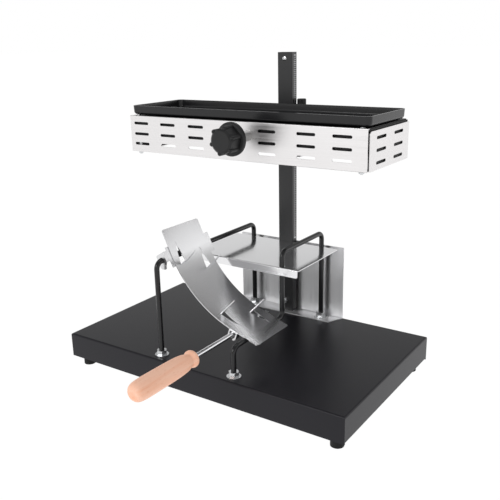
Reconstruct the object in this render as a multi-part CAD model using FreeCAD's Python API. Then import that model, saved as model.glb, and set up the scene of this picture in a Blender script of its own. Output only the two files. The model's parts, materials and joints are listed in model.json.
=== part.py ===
import FreeCAD, Part
import math
import os
from FreeCAD import Vector as V

# Raclette grill: folded steel base, rack column, height-adjustable heater with a
# grill tray on top, two rod rails and a tilting cradle for half a cheese wheel.
# Millimetres.  X runs along the long side of the base, -Y is the front (handle
# side), +Z is up, and z = 0 is the surface that the rubber feet stand on.

# ---------------------------------------------------------------- dimensions
base_w, base_d = 500.0, 290.0
base_z0, base_z1 = 15.5, 55.0          # lower edge of front skirt, top face
base_side_z0 = 18.0                    # lower edge of the side skirts
base_t, base_r = 1.5, 2.8              # sheet, outer bend radius
foot_dx, foot_dy, foot_r = 19.2, 17.8, 9.5

col_x, col_y0, col_y1 = 13.4, 124.8, 140.2
col_z0, col_z1, col_t = 56.2, 492.3, 2.0
rack_y0, rack_y1 = 131.0, 136.5
rack_z0, rack_z1 = 187.0, 488.0
module = 1.0
teeth = 15
pin_r = module * teeth / 2.0           # pinion pitch radius
rack_tip_x = col_x                     # rack teeth end flush with the side face
pin_x = rack_tip_x - 1.0 * module + pin_r
shaft_z = 378.9                        # axis of the height shaft at rest

rail_d = 8.0
lrail_x, rrail_x = -68.0, 67.0
lrail_y0, rrail_y0 = -127.5, -128.5
rail_y1 = 129.3
lrail_hi, rrail_hi, rail_lo = 202.5, 205.0, 100.0
rail_vy = 3.5                          # riser between low and high run
rail_R = 11.0                          # centreline bend radius

plate_t = 1.2
back_x, back_y0, back_y1, back_z1 = 102.0, 141.8, 143.0, 180.2
flange_y0, flange_x = 113.8, 89.0
shelf_x, shelf_y0, shelf_y1, shelf_z = 100.0, -3.2, 124.3, 182.3

h_x = 211.6                            # outer face of heater side panels
h_fx = 209.6                           # half width of the front and rear panel
h_y0, h_y1 = -13.2, 123.0
h_z0, h_z1, h_sz1 = 340.8, 398.6, 394.5
h_t = 1.0
slot_rows = (386.7, 369.8, 354.1)
slot_cols = (-186.6, -131.8, -76.0, 52.7, 116.8, 172.5)
slot_l, slot_h = 29.8, 4.4
side_rows = (384.4, 367.4, 350.4)
side_cols = (26.5, 85.5)
side_l = 31.5

car_z0, car_z1, car_y1 = 350.0, 391.6, 144.6   # guide block on the column
lobe_y1 = 149.0                        # rear end of the pinion housing
lock_x, lock_y, lock_z = 21.2, 142.0, 392.4    # clamp knob: axis and lower end
lock_r, lock_top = 7.3, 419.6

tray_x, tray_y0, tray_y1 = 210.0, -8.2, 114.8
tray_z0, tray_z1 = 399.9, 413.8

cr_y0, cr_y1 = -102.0, -17.0           # cradle sheet, front and rear edge
cr_t = 1.2
cr_p0 = (-77.0, 244.5)                 # upper end, inner surface
cr_p1 = (90.3, 98.1)                   # lower end, inner surface
cr_a0, cr_a1 = -64.5, -19.2            # tangent angles at the two ends
cr_R = 180.0
sad_y0, sad_y1 = -116.0, -5.5           # rail saddle, outer faces of its end plates

rod_x, rod_z, rod_r, rod_end = 47.973, 106.5, 3.5, -10.8
handle_y0, handle_y1 = -311.0, -193.0

os.makedirs("parts", exist_ok=True)


# ---------------------------------------------------------------- helpers
def box(x0, x1, y0, y1, z0, z1):
    return Part.makeBox(x1 - x0, y1 - y0, z1 - z0, V(x0, y0, z0))


def cyl(r, h, p, d=(0, 0, 1)):
    return Part.makeCylinder(r, h, V(*p), V(*d))


def fuse(shapes):
    s = shapes[0]
    if len(shapes) > 1:
        s = s.fuse(shapes[1:])
    return s.removeSplitter()


def cut(s, tools):
    if tools:
        s = s.cut(tools)
    return s


def hexprism(af, h, p, d=(0, 0, 1), turn=0.0):
    r = af / math.sqrt(3.0)
    pts = []
    for i in range(7):
        a = math.radians(60 * i + turn)
        pts.append(V(r * math.cos(a), r * math.sin(a), 0))
    s = Part.Face(Part.makePolygon(pts)).extrude(V(0, 0, h))
    # chamfered crown on both ends
    c = Part.makeCone(r * 0.90, r * 1.35, h * 0.30)
    c2 = Part.makeCylinder(r * 1.35, h * 0.40, V(0, 0, h * 0.30))
    c3 = Part.makeCone(r * 1.35, r * 0.90, h * 0.30, V(0, 0, h * 0.70))
    s = s.common(c.fuse([c2, c3]))
    rot = FreeCAD.Rotation(V(0, 0, 1), V(*d))
    s.Placement = FreeCAD.Placement(V(*p), rot)
    return s


def rounded_rect(x0, x1, y0, y1, r, z):
    e = []
    e.append(Part.LineSegment(V(x0 + r, y0, z), V(x1 - r, y0, z)).toShape())
    k = r * (1 - math.sqrt(0.5))
    e.append(Part.Arc(V(x1 - r, y0, z), V(x1 - k, y0 + k, z), V(x1, y0 + r, z)).toShape())
    e.append(Part.LineSegment(V(x1, y0 + r, z), V(x1, y1 - r, z)).toShape())
    e.append(Part.Arc(V(x1, y1 - r, z), V(x1 - k, y1 - k, z), V(x1 - r, y1, z)).toShape())
    e.append(Part.LineSegment(V(x1 - r, y1, z), V(x0 + r, y1, z)).toShape())
    e.append(Part.Arc(V(x0 + r, y1, z), V(x0 + k, y1 - k, z), V(x0, y1 - r, z)).toShape())
    e.append(Part.LineSegment(V(x0, y1 - r, z), V(x0, y0 + r, z)).toShape())
    e.append(Part.Arc(V(x0, y0 + r, z), V(x0 + k, y0 + k, z), V(x0 + r, y0, z)).toShape())
    return Part.Wire(e)


def bent_rod(pts, r, R):
    """Round rod along a polyline, with tangent arcs of radius R at the corners."""
    P = [V(*p) for p in pts]
    edges = []
    start = P[0]
    for i in range(1, len(P) - 1):
        a = (P[i - 1] - P[i]).normalize()
        b = (P[i + 1] - P[i]).normalize()
        ang = a.getAngle(b)
        T = R / math.tan(ang / 2.0)
        p1 = P[i] + a * T
        p2 = P[i] + b * T
        m = (a + b).normalize()
        c = P[i] + m * (R / math.sin(ang / 2.0))
        mid = c - m * R
        edges.append(Part.LineSegment(start, p1).toShape())
        edges.append(Part.Arc(p1, mid, p2).toShape())
        start = p2
    edges.append(Part.LineSegment(start, P[-1]).toShape())
    w = Part.Wire(edges)
    d = (P[1] - P[0]).normalize()
    prof = Part.Wire(Part.makeCircle(r, P[0], d))
    s = w.makePipeShell([prof], True, True)
    if s.ShapeType != "Solid":
        s = Part.Solid(s) if s.ShapeType == "Shell" else s.Solids[0]
    return s


def lathe(profile, p, d):
    """Solid of revolution: profile is (radius, along) pairs, closed on the axis."""
    pts = [V(0, 0, profile[0][1])]
    pts += [V(a, 0, b) for a, b in profile]
    pts += [V(0, 0, profile[-1][1])]
    clean = [pts[0]]
    for q in pts[1:]:
        if (q - clean[-1]).Length > 1e-6:
            clean.append(q)
    clean.append(clean[0])
    f = Part.Face(Part.makePolygon(clean))
    s = f.revolve(V(0, 0, 0), V(0, 0, 1), 360)
    s.Placement = FreeCAD.Placement(V(*p), FreeCAD.Rotation(V(0, 0, 1), V(*d)))
    return s


def pan_screw(r_head, h_head, r_sh, l_sh, p, d):
    """Round-head screw: head base at p, head towards d, shank the other way."""
    prof = [(r_head, 0.0), (r_head, h_head * 0.35), (r_head * 0.8, h_head * 0.8), (r_head * 0.35, h_head)]
    head = lathe(prof, p, d)
    dd = V(*d)
    sh = Part.makeCylinder(r_sh, l_sh, V(*p), dd * -1)
    s = head.fuse([sh])
    # cross recess
    a = V(*p) + dd * (h_head * 0.45)
    rot = FreeCAD.Rotation(V(0, 0, 1), dd)
    for turn in (0, 90):
        b = Part.makeBox(r_head * 1.1, r_head * 0.22, h_head, V(-r_head * 0.55, -r_head * 0.11, 0))
        b.rotate(V(0, 0, 0), V(0, 0, 1), turn)
        b.Placement = FreeCAD.Placement(a, rot).multiply(b.Placement)
        s = s.cut(b)
    return s.removeSplitter()


def slot_cutter(cx, cz, l, h, y0, y1):
    """Horizontal slot with round ends through a wall that is square to Y."""
    r = h / 2.0
    b = box(cx - l / 2 + r, cx + l / 2 - r, y0, y1, cz - r, cz + r)
    a = cyl(r, y1 - y0, (cx - l / 2 + r, y0, cz), (0, 1, 0))
    c = cyl(r, y1 - y0, (cx + l / 2 - r, y0, cz), (0, 1, 0))
    return b.fuse([a, c])


def slot_cutter_x(cy, cz, l, h, x0, x1):
    r = h / 2.0
    b = box(x0, x1, cy - l / 2 + r, cy + l / 2 - r, cz - r, cz + r)
    a = cyl(r, x1 - x0, (x0, cy - l / 2 + r, cz), (1, 0, 0))
    c = cyl(r, x1 - x0, (x0, cy + l / 2 - r, cz), (1, 0, 0))
    return b.fuse([a, c])


def export(name, shape):
    shapes = shape if isinstance(shape, (list, tuple)) else [shape]
    sol = []
    for s in shapes:
        sol.extend(s.Solids)
    for s in sol:
        if not s.isValid():
            print("INVALID", name)
        if s.Volume < 0:
            print("NEGATIVE", name)
    out = sol[0] if len(sol) == 1 else Part.makeCompound(sol)
    out.exportStep("parts/%s.step" % name)
    print("%-24s solids %d  volume %.1f" % (name, len(sol), sum(s.Volume for s in sol)))


# ---------------------------------------------------------------- base
def make_base():
    outer = box(-base_w / 2, base_w / 2, -base_d / 2, base_d / 2, base_z0, base_z1)
    ed = [e for e in outer.Edges
          if abs(e.BoundBox.ZMin - base_z1) < 1e-6 and abs(e.BoundBox.ZMax - base_z1) < 1e-6]
    outer = outer.makeFillet(base_r, ed)
    ed = [e for e in outer.Edges if e.BoundBox.ZLength > 20 and e.BoundBox.XLength < 1e-3 and e.BoundBox.YLength < 1e-3]
    t = base_t
    inner = box(-base_w / 2 + t, base_w / 2 - t, -base_d / 2 + t, base_d / 2 - t, base_z0 + t, base_z1 - t)
    ed = [e for e in inner.Edges
          if abs(e.BoundBox.ZMin - (base_z1 - t)) < 1e-6 and abs(e.BoundBox.ZMax - (base_z1 - t)) < 1e-6]
    inner = inner.makeFillet(base_r - t, ed)
    s = outer.cut(inner)
    # open underside between the in-turned front and rear lips
    s = s.cut(box(-base_w / 2 + t, base_w / 2 - t, -base_d / 2 + 31, base_d / 2 - 31, base_z0 - 1, base_z0 + t + 1))
    # side skirts end a little higher than the front and rear ones
    s = s.cut(box(-base_w / 2 - 1, -base_w / 2 + 5, -base_d / 2 + t, base_d / 2 - t, base_z0 - 1, base_side_z0))
    s = s.cut(box(base_w / 2 - 5, base_w / 2 + 1, -base_d / 2 + t, base_d / 2 - t, base_z0 - 1, base_side_z0))
    holes = []
    for x, y in rail_holes():
        holes.append(cyl(4.2, 10, (x, y, base_z1 - 5)))
    holes.append(cyl(4.2, 10, (0, (col_y0 + col_y1) / 2, base_z1 - 5)))
    for sx in (-1, 1):
        for sy in (-1, 1):
            holes.append(cyl(2.6, 6, (sx * (base_w / 2 - foot_dx), sy * (base_d / 2 - foot_dy), base_z0 - 2)))
    return s.cut(holes).removeSplitter()


def rail_holes():
    return [(lrail_x, lrail_y0), (lrail_x, rail_y1), (rrail_x, rrail_y0), (rrail_x, rail_y1)]


def make_feet():
    feet, studs, nuts = [], [], []
    for sx in (-1, 1):
        for sy in (-1, 1):
            x, y = sx * (base_w / 2 - foot_dx), sy * (base_d / 2 - foot_dy)
            f = lathe([(foot_r, 0), (foot_r, base_z0 - 1.5), (foot_r - 1.5, base_z0)], (x, y, 0), (0, 0, 1))
            # stud with a plate bonded to the top of the rubber
            stud = lathe([(7.0, base_z0 - 1.5), (7.0, base_z0), (2.5, base_z0), (2.5, 21.6), (2.1, 22.0)], (x, y, 0), (0, 0, 1))
            feet.append(f.cut(stud))
            studs.append(stud)
            n = hexprism(8.0, 4.0, (x, y, base_z0 + base_t), (0, 0, 1))
            nuts.append(n.cut(cyl(2.5, 10, (x, y, base_z0 - 2))))
    return feet, studs, nuts


# ---------------------------------------------------------------- column
def make_column():
    yc0, yc1 = col_y0, col_y1
    outer = box(-col_x, col_x, yc0, yc1, col_z0, col_z1)
    ed = [e for e in outer.Edges if e.BoundBox.ZLength > 100]
    outer = outer.makeFillet(1.6, ed)
    inner = box(-col_x + col_t, col_x - col_t, yc0 + col_t, yc1 - col_t, col_z0 - 1, col_z1 + 1)
    s = outer.cut(inner)
    # window in the right wall that takes the rack
    s = s.cut(box(col_x - col_t - 1, col_x + 1, rack_y0, rack_y1, rack_z0, rack_z1))
    for z in col_bolt_z:
        s = s.cut(cyl(2.6, 40, (0, yc0 - 5, z), (0, 1, 0)))
    s = s.cut(cyl(2.1, 6, (0, yc0 - 2, stop_z), (0, 1, 0)))
    for z in shelf_screw_z:
        s = s.cut(cyl(2.1, 6, (0, yc0 - 2, z), (0, 1, 0)))
    return s.removeSplitter()


col_bolt_z = (74.4, 150.0)
stop_z = 482.7
shelf_screw_z = (165.0, 174.0)


def make_rack():
    """Toothed strip with a backing bar that sits inside the tube."""
    p = math.pi * module
    tip = rack_tip_x
    root = tip - 2.1 * module
    y0, y1 = rack_y0 + 0.02, rack_y1 - 0.02
    z0, z1 = rack_z0 + 0.05, rack_z1 - 0.05
    # a gap is centred on the shaft axis at rest
    k0 = math.ceil((z0 + 2.2 - shaft_z) / p)
    k1 = math.floor((z1 - 2.2 - shaft_z) / p)
    pts = [V(root - 2.4, y0, z0), V(tip - 0.02, y0, z0)]
    wr = 1.14       # half gap width at the tip line
    wb = 0.46       # half gap width at the root line
    for k in range(k0, k1 + 1):
        zc = shaft_z + k * p
        pts += [V(tip - 0.02, y0, zc - wr), V(root, y0, zc - wb), V(root, y0, zc + wb), V(tip - 0.02, y0, zc + wr)]
    pts += [V(tip - 0.02, y0, z1), V(root - 2.4, y0, z1), V(root - 2.4, y0, z0)]
    s = Part.Face(Part.makePolygon(pts)).extrude(V(0, y1 - y0, 0))
    back = box(root - 2.4, col_x - col_t - 0.02, col_y0 + col_t + 0.3, col_y1 - col_t - 0.3, z0, z1)
    s = s.fuse(back)
    # clear of the front wall screw
    s = s.cut(box(-20, 20, col_y0, col_y0 + 7.0, stop_z - 4, stop_z + 4))
    return s.removeSplitter()


def make_pinion():
    n = teeth
    ra, rf = pin_r + 0.75 * module, pin_r - 1.15 * module
    y0, y1 = rack_y0 + 0.25, rack_y1 - 0.25
    pts = []
    hw_tip, hw_pitch, hw_root = 0.26, 0.54, 0.84   # half tooth widths
    for i in range(n):
        a = math.pi + 2 * math.pi * i / n           # one tooth points at the rack
        u = V(math.cos(a), 0, math.sin(a))
        w = V(-math.sin(a), 0, math.cos(a))
        for r, h in ((rf, -hw_root), (pin_r, -hw_pitch), (ra, -hw_tip), (ra, hw_tip), (pin_r, hw_pitch), (rf, hw_root)):
            pts.append(V(pin_x, y0, shaft_z) + u * r + w * h)
    pts.append(pts[0])
    s = Part.Face(Part.makePolygon(pts)).extrude(V(0, y1 - y0, 0))
    s = s.cut(cyl(4.0, 20, (pin_x, y0 - 5, shaft_z), (0, 1, 0)))
    return s.removeSplitter()


# ---------------------------------------------------------------- rails
def make_rails():
    zb = base_z1 - 13.0
    left = bent_rod([(lrail_x, lrail_y0, zb), (lrail_x, lrail_y0, lrail_hi), (lrail_x, rail_y1, lrail_hi),
                     (lrail_x, rail_y1, zb)], rail_d / 2, rail_R)
    right = bent_rod([(rrail_x, rrail_y0, zb), (rrail_x, rrail_y0, rail_lo), (rrail_x, rail_vy, rail_lo),
                      (rrail_x, rail_vy, rrail_hi), (rrail_x, rail_y1, rrail_hi), (rrail_x, rail_y1, zb)],
                     rail_d / 2, rail_R)
    return left, right


def make_rail_fixings():
    nuts, washers, unuts, uwashers = [], [], [], []
    for x, y in rail_holes():
        top = base_z1 + (plate_t if y > 0 else 0.0)
        w = cyl(10.6, 1.6, (x, y, top)).cut(cyl(rail_d / 2, 5, (x, y, top - 1)))
        washers.append(w)
        n = hexprism(14.0, 6.8, (x, y, top + 1.6), (0, 0, 1), 12.0)
        nuts.append(n.cut(cyl(rail_d / 2, 20, (x, y, top - 1))))
        u = cyl(8.5, 1.6, (x, y, base_z1 - base_t - 1.6)).cut(cyl(rail_d / 2, 9, (x, y, base_z1 - 9)))
        uwashers.append(u)
        n = hexprism(13.0, 6.5, (x, y, base_z1 - base_t - 1.6 - 6.5), (0, 0, 1), 5.0)
        unuts.append(n.cut(cyl(rail_d / 2, 20, (x, y, base_z1 - 20))))
    return nuts, washers, unuts, uwashers


# ---------------------------------------------------------------- plates
def make_back_plate():
    wall = box(-back_x, back_x, back_y0, back_y1, base_z1, back_z1)
    pts = [V(-back_x, back_y1, base_z1), V(-back_x, back_y1 - 3, base_z1), V(-flange_x, flange_y0, base_z1),
           V(flange_x, flange_y0, base_z1), V(back_x, back_y1 - 3, base_z1), V(back_x, back_y1, base_z1),
           V(-back_x, back_y1, base_z1)]
    fl = Part.Face(Part.makePolygon(pts)).extrude(V(0, 0, plate_t))
    s = wall.fuse(fl).removeSplitter()
    # inside and outside bend
    ed = []
    for e in s.Edges:
        b = e.BoundBox
        if b.XLength > 150 and b.YLength < 1e-3 and b.ZLength < 1e-3:
            if abs(b.YMin - back_y0) < 1e-3 and abs(b.ZMin - (base_z1 + plate_t)) < 1e-3:
                ed.append(e)
    if ed:
        s = s.makeFillet(1.0, ed)
    ed = [e for e in s.Edges if e.BoundBox.XLength > 150 and e.BoundBox.YLength < 1e-3
          and abs(e.BoundBox.YMin - back_y1) < 1e-3 and abs(e.BoundBox.ZMax - base_z1) < 1e-3]
    if ed:
        s = s.makeFillet(2.0, ed)
    ed = [e for e in s.Edges if e.BoundBox.YLength > 1.0 and e.BoundBox.YLength < 1.3 and e.BoundBox.XLength < 1e-3
          and abs(e.BoundBox.ZMin - back_z1) < 1e-3]
    if ed:
        s = s.makeFillet(2.5, ed)
    tools = [cyl(rail_d / 2 + 0.3, 10, (lrail_x, rail_y1, base_z1 - 5)),
             cyl(rail_d / 2 + 0.3, 10, (rrail_x, rail_y1, base_z1 - 5)),
             cyl(4.2, 10, (0, (col_y0 + col_y1) / 2, base_z1 - 5))]
    for z in col_bolt_z:
        tools.append(cyl(2.6, 20, (0, back_y0 - 5, z), (0, 1, 0)))
    return s.cut(tools)


def make_shelf():
    t = plate_t
    top = Part.Face(rounded_rect(-shelf_x, shelf_x, shelf_y0, shelf_y1, 2.5, shelf_z - t)).extrude(V(0, 0, t))
    lip_z0 = shelf_z - 12.6
    lx = 97.5
    pts = [V(-lx, shelf_y0, shelf_z - 0.4), V(-lx + 2.5, shelf_y0, lip_z0), V(lx - 0.5, shelf_y0, lip_z0),
           V(lx, shelf_y0, shelf_z - 0.4), V(-lx, shelf_y0, shelf_z - 0.4)]
    lip = Part.Face(Part.makePolygon(pts)).extrude(V(0, t, 0))
    ed = [e for e in lip.Edges if e.BoundBox.YLength > 1.1 and e.BoundBox.ZLength < 0.01
          and abs(e.BoundBox.ZMin - lip_z0) < 0.01]
    lip = lip.makeFillet(2.2, ed)
    rear = box(-56, 56, shelf_y1 - t, shelf_y1, shelf_z - 25, shelf_z - 0.4)
    s = top.fuse([lip, rear]).removeSplitter()
    # rounded nose of the two bends
    nose = box(-shelf_x - 1, shelf_x + 1, shelf_y0 - 1, shelf_y0 + 1.6, shelf_z - 1.6, shelf_z + 1)
    nose = nose.cut(cyl(1.6, 2 * shelf_x + 4, (-shelf_x - 2, shelf_y0 + 1.6, shelf_z - 1.6), (1, 0, 0)))
    s = s.cut(nose)
    tools = [cyl(rail_d / 2 + 0.7, 10, (rrail_x, rail_vy, shelf_z - 5))]
    for z in shelf_screw_z:
        tools.append(cyl(2.1, 6, (0, shelf_y1 - 4, z), (0, 1, 0)))
    s = s.cut(tools)
    return s


# ---------------------------------------------------------------- cradle
def cradle_path():
    """Corner, tangent points, centre of the inner surface line in the XZ plane."""
    a0, a1 = math.radians(cr_a0), math.radians(cr_a1)
    d0 = (math.cos(a0), math.sin(a0))
    d1 = (math.cos(a1), math.sin(a1))
    # intersection of the two end lines
    x0, z0 = cr_p0
    x1, z1 = cr_p1
    det = d0[0] * (-d1[1]) - (-d1[0]) * d0[1]
    rx, rz = x1 - x0, z1 - z0
    t = (rx * (-d1[1]) - (-d1[0]) * rz) / det
    cx, cz = x0 + d0[0] * t, z0 + d0[1] * t
    half = (a1 - a0) / 2.0
    T = cr_R * math.tan(half)
    ta = (cx - d0[0] * T, cz - d0[1] * T)
    tb = (cx + d1[0] * T, cz + d1[1] * T)
    am = (a0 + a1) / 2.0
    n = (-math.sin(am), math.cos(am))
    cen = (cx + n[0] * cr_R / math.cos(half), cz + n[1] * cr_R / math.cos(half))
    return d0, d1, ta, tb, n, cen


def cradle_band(off0, off1, ext=0.0, y0=None, y1=None):
    """Solid between two offsets below the inner surface of the cradle sheet."""
    y0 = cr_y0 if y0 is None else y0
    y1 = cr_y1 if y1 is None else y1
    d0, d1, ta, tb, n, cen = cradle_path()
    n0 = (-d0[1], d0[0])
    n1 = (-d1[1], d1[0])

    def pt(p, nn, o):
        return V(p[0] - nn[0] * o, y0, p[1] - nn[1] * o)

    def line(o):
        A = pt((cr_p0[0] - d0[0] * ext, cr_p0[1] - d0[1] * ext), n0, o)
        B = pt(ta, n0, o)
        M = V(cen[0] - n[0] * (cr_R + o), y0, cen[1] - n[1] * (cr_R + o))
        C = pt(tb, n1, o)
        D = pt((cr_p1[0] + d1[0] * ext, cr_p1[1] + d1[1] * ext), n1, o)
        return A, B, M, C, D

    A, B, M, C, D = line(off0)
    a, b, m, c, d = line(off1)
    w = Part.Wire([Part.LineSegment(A, B).toShape(), Part.Arc(B, M, C).toShape(), Part.LineSegment(C, D).toShape(),
                   Part.LineSegment(D, d).toShape(), Part.LineSegment(d, c).toShape(), Part.Arc(c, m, b).toShape(),
                   Part.LineSegment(b, a).toShape(), Part.LineSegment(a, A).toShape()])
    return Part.Face(w).extrude(V(0, y1 - y0, 0))


def cradle_point(s):
    """Point and tangent on the inner surface at arc length s from the upper end."""
    d0, d1, ta, tb, n, cen = cradle_path()
    l0 = math.hypot(ta[0] - cr_p0[0], ta[1] - cr_p0[1])
    a0, a1 = math.radians(cr_a0), math.radians(cr_a1)
    la = cr_R * (a1 - a0)
    if s <= l0:
        return (cr_p0[0] + d0[0] * s, cr_p0[1] + d0[1] * s), a0
    if s <= l0 + la:
        a = a0 + (s - l0) / cr_R
        return (cen[0] + cr_R * math.sin(a), cen[1] - cr_R * math.cos(a)), a
    q = s - l0 - la
    return (tb[0] + d1[0] * q, tb[1] + d1[1] * q), a1


def frame_at(s, y):
    (x, z), a = cradle_point(s)
    o = V(x, y, z)
    t = V(math.cos(a), 0, math.sin(a))
    n = V(-math.sin(a), 0, math.cos(a))
    return o, t, n


# (arc position of the spike's foot, y, direction of its slot from the foot, width at the foot)
spikes = [(57.5, -84.5, -1, 13.0), (78.0, -37.5, -1, 13.0), (154.5, -83.0, 1, 10.5), (177.0, -36.5, 1, 10.5)]
spike_l = 33.0


def slot_tools(sf, y, dr, w0, depth, extra):
    """Tapering window along the sheet that a spike was cut from."""
    out, lo, hi = [], [], []
    m = 12
    for i in range(m + 1):
        f = i / float(m)
        w = w0 / 2.0 * (1 - f) + 0.35 + extra
        q, tt, nq = frame_at(sf + dr * (f * (spike_l + 1.0)), y)
        lo.append(q + V(0, -w, 0))
        hi.append(q + V(0, w, 0))
    for i in range(m):
        q, tt, nq = frame_at(sf + dr * ((i + 0.5) / m * (spike_l + 1.0)), y)
        f = Part.Face(Part.makePolygon([lo[i], lo[i + 1], hi[i + 1], hi[i], lo[i]]))
        out.append(f.extrude(nq * -depth))
        out.append(f.extrude(nq * 3.0))
    return out


def make_cradle():
    s = cradle_band(0.0, cr_t)
    # rounded sheet corners at both ends
    r = 4.0
    total = 0.0
    d0, d1, ta, tb, n, cen = cradle_path()
    la = cr_R * (math.radians(cr_a1) - math.radians(cr_a0))
    total = math.hypot(ta[0] - cr_p0[0], ta[1] - cr_p0[1]) + la + math.hypot(cr_p1[0] - tb[0], cr_p1[1] - tb[1])
    for ss, sg in ((0.0, 1), (total, -1)):
        for y, sy in ((cr_y0, 1), (cr_y1, -1)):
            o, t, nn = frame_at(ss, y)
            t = t * sg
            # square minus disc, extruded through the sheet
            c = o + t * r + V(0, sy * r, 0)
            p = [o + nn * 3 - t * 2 - V(0, sy * 2, 0), c + nn * 3 - V(0, sy * (r + 2), 0), c + nn * 3,
                 c + nn * 3 - t * (r + 2)]
            f = Part.Face(Part.makePolygon([p[0], p[1], p[2], p[3], p[0]]))
            b = f.extrude(nn * -8)
            b = b.cut(Part.makeCylinder(r, 12, c + nn * 5, nn * -1))
            s = s.cut(b)
    adds = []
    for sf, y, dr, w0 in spikes:
        o, t, nn = frame_at(sf, y)
        s = s.cut(slot_tools(sf, y, dr, w0, 4.0, 0.0))
        # the spike itself, standing up into the wheel; shared direction
        u = V(math.cos(math.radians(47)), 0, math.sin(math.radians(47)))
        wv = u.cross(V(0, 1, 0))
        base = o - nn * (cr_t * 0.8)
        p = [base + V(0, -w0 / 2, 0), base + V(0, w0 / 2, 0), base + u * spike_l + V(0, 0.35, 0),
             base + u * spike_l + V(0, -0.35, 0)]
        f = Part.Face(Part.makePolygon([p[0], p[1], p[2], p[3], p[0]]))
        side = -1.0 if wv.dot(t) * dr > 0 else 1.0
        blade = f.extrude(wv * (cr_t * side))
        adds.append(blade)
    s = s.fuse(adds).removeSplitter()
    return s


def make_rail_saddle():
    """Strip under the sheet with an end plate at front and rear that hangs on the left rail."""
    y0, y1 = sad_y0, sad_y1
    d0, d1, ta, tb, n, cen = cradle_path()
    n0 = (-d0[1], d0[0])
    along = (lrail_x - cr_p0[0]) * d0[0] + (lrail_hi - cr_p0[1]) * d0[1]

    def q(al, off, y):
        return V(cr_p0[0] + d0[0] * al - n0[0] * off, y, cr_p0[1] + d0[1] * al - n0[1] * off)

    def slab(al0, al1, ya, yb):
        return Part.Face(Part.makePolygon([q(al0, -10, ya), q(al0, 30, ya), q(al1, 30, ya), q(al1, -10, ya),
                                           q(al0, -10, ya)])).extrude(V(0, yb - ya, 0))

    a0 = along - 16.0
    o0, o1 = cr_t, cr_t + 1.5
    band = cradle_band(o0, o1, 0.0, y0, y1)
    # wide under the sheet, narrow necks out to the end plates
    strip = band.common(slab(a0, a0 + 32.0, cr_y0 - 5.5, y1))
    neck = band.common(slab(a0 + 5.0, a0 + 21.0, y0, cr_y0))
    parts = [strip, neck]
    # end plates square to the rail, each with a round eye
    for ya, yb in ((y0, y0 + 2.0), (y1 - 2.0, y1)):
        poly = [q(a0 + 5.0, o0 + 0.2, ya), q(a0 + 21.0, o0 + 0.9, ya), V(-60.0, ya, 197.0), V(-60.2, ya, 191.4), V(-61.4, ya, 189.6),
                V(-63.0, ya, 189.0), V(-67.6, ya, 189.0), V(-69.4, ya, 189.6), V(-70.6, ya, 191.4), V(-72.6, ya, 196.4),
                V(-77.4, ya, 205.0), V(-77.9, ya, 208.0)]
        f = Part.Face(Part.makePolygon(poly + [poly[0]]))
        pl = f.extrude(V(0, yb - ya, 0))
        pl = pl.cut(cyl(rail_d / 2 + 0.5, 10, (lrail_x, ya - 4, lrail_hi), (0, 1, 0)))
        parts.append(pl)
    s = parts[0].fuse(parts[1:]).removeSplitter()
    # keep everything below the sheet
    s = s.cut(cradle_band(-30.0, cr_t, 5.0, y0 - 1, y1 + 1))
    # windows under the two upper spikes
    for sf, y, dr, w0 in spikes[:2]:
        s = s.cut(slot_tools(sf, y, dr, w0, 9.0, 0.6))
    return s.removeSplitter()


def make_rod_saddles():
    out = []
    d0, d1, ta, tb, n, cen = cradle_path()
    n1 = V(-d1[1], 0, d1[0])
    t1 = V(d1[0], 0, d1[1])
    for y0, y1 in ((cr_y0 - 1.5, cr_y0 + 8.0), (cr_y1 - 9.0, cr_y1 - 0.5)):
        # foot of the rod on the lower sheet face
        c = V(rod_x, y0, rod_z) + n1 * (rod_r + 1.27)
        w, t, l = 14.4, 2.0, 13.0

        def q(a, b):
            return c + t1 * a - n1 * b
        pts = [q(-w / 2, 0), q(w / 2, 0), q(w / 2, l - 3.0), q(w / 2 - 1.6, l - 0.4), q(w / 2 - 4.4, l + 0.6), q(w / 2 - 4.8, l - 1.2),
               q(w / 2 - 2.8, l - 2.0), q(w / 2 - t, l - 4.0), q(w / 2 - t, 1.23), q(-w / 2 + t, 1.23), q(-w / 2 + t, l - 5.0),
               q(-w / 2, l - 5.0)]
        f = Part.Face(Part.makePolygon(pts + [pts[0]]))
        s = f.extrude(V(0, y1 - y0, 0))
        out.append(s)
    return out


def make_handle():
    r = [(3.2, 0.0), (8.6, 0.0), (11.2, 1.2), (12.2, 3.2), (12.2, 6.2), (11.0, 8.6), (9.6, 10.2), (9.4, 11.4), (10.4, 13.2),
         (12.0, 18.0), (12.9, 26.0), (13.4, 40.0), (13.8, 60.0), (14.0, 80.0), (14.0, 98.0), (13.7, 106.0), (12.9, 111.0),
         (11.2, 115.0), (8.6, 117.3), (5.0, 118.0)]
    s = lathe(r, (rod_x, handle_y1, rod_z), (0, -1, 0))
    s = s.cut(cyl(rod_r, 62.0, (rod_x, handle_y1 - 60.0, rod_z), (0, 1, 0)))
    return s


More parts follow.
